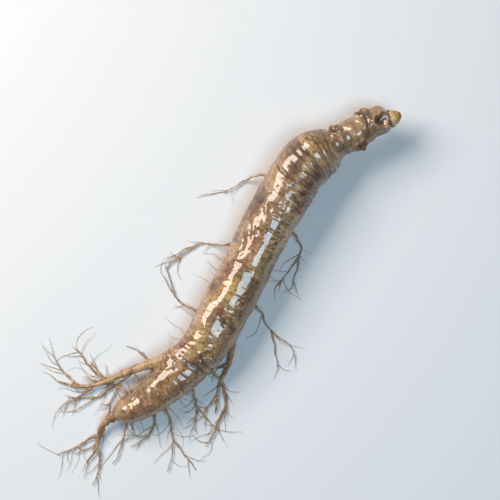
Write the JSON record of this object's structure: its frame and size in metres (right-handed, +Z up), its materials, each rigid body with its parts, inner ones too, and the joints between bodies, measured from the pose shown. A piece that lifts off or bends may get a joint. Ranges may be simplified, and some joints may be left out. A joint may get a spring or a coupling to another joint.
{
  "type": "american ginseng root",
  "caption": "Fresh american ginseng root lying on its belly: scarred neck with a bud, ringed shoulder, long curved body that forks near the tail, fine rootlets.",
  "frame": {"origin": "on the small flat of the belly that the root rests on, under its centre of mass", "axes": "+X along the root from the tail towards the neck, +Y towards the side where it forks, +Z up"},
  "size_m": [0.2156, 0.0821, 0.0235],
  "materials": {
    "root_skin": "moist brown root skin, tan to ochre with darker mottling, satin"
  },
  "bodies": {
    "root": {"ginseng_root": "root_skin"}
  },
  "joints": []
}
